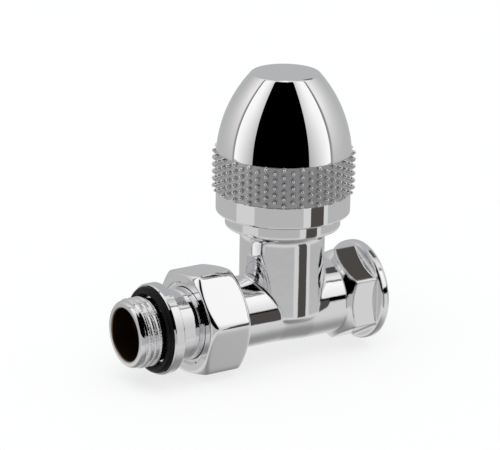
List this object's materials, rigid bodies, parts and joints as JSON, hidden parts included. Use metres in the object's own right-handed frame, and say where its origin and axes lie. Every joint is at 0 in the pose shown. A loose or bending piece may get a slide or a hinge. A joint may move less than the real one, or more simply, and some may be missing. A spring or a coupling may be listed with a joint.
{
  "type": "manual radiator valve",
  "caption": "Straight chrome-plated radiator valve with a domed turning knob, a female pipe port and a union tail with a hexagon nut.",
  "frame": {"origin": "centre of the pipe port's face, on the axis of the run", "axes": "+X out of the pipe port, +Z along the spindle towards the knob; the union tail points to -X"},
  "size_m": [0.0833, 0.0426, 0.0882],
  "materials": {
    "body_chrome": "polished chrome plate on brass",
    "nut_chrome": "polished chrome plate on brass",
    "tail_chrome": "chrome plate on brass",
    "cap_chrome": "mirror chrome plate",
    "grip_satin": "satin chrome",
    "inner_brass": "turned",
    "seal_rubber": "satin moulded",
    "gasket_fibre": "matte pressed sheet",
    "hub_plastic": "moulded",
    "screw_steel": "plain zinc-plated"
  },
  "bodies": {
    "valve": {"valve_body": "body_chrome", "bonnet": "inner_brass", "bonnet_gasket": "gasket_fibre", "gland_nut": "inner_brass", "lower_spindle_ring": "seal_rubber", "upper_spindle_ring": "seal_rubber"},
    "disc": {"disc_holder": "inner_brass", "disc_gasket": "seal_rubber", "disc_screw": "screw_steel"},
    "handle": {"spindle": "inner_brass", "handle_hub": "hub_plastic", "handle_skirt": "cap_chrome", "grip_band": "grip_satin", "handle_dome": "cap_chrome", "handle_washer": "screw_steel", "handle_screw": "screw_steel"},
    "tail": {"union_tail": "tail_chrome", "tail_seal_ring": "seal_rubber", "seat_o_ring": "seal_rubber", "nut_retaining_ring": "screw_steel"},
    "nut": {"union_nut": "nut_chrome"}
  },
  "joints": [
    {"name": "disc_lift", "type": "slide", "parent": "valve", "child": "disc", "axis": [0, 0, 1], "range_m": [0, 0.0045]},
    {"name": "handle_turn", "type": "hinge", "parent": "disc", "child": "handle", "pos_m": [-0.0293, 0, 0], "axis": [0, 0, 1], "range_deg": [0, 1080]},
    {"name": "tail_draw", "type": "slide", "parent": "valve", "child": "tail", "axis": [-1, 0, 0], "range_m": [0, 0.00907]},
    {"name": "nut_turn", "type": "hinge", "parent": "tail", "child": "nut", "pos_m": [-0.05645, 0, 0], "axis": [-1, 0, 0], "range_deg": [0, 1800]}
  ],
  "couplings": [
    {"joint": "handle_turn", "follows": "disc_lift", "rad_per_m": 4188.8},
    {"joint": "nut_turn", "follows": "tail_draw", "rad_per_m": 3463.7}
  ]
}
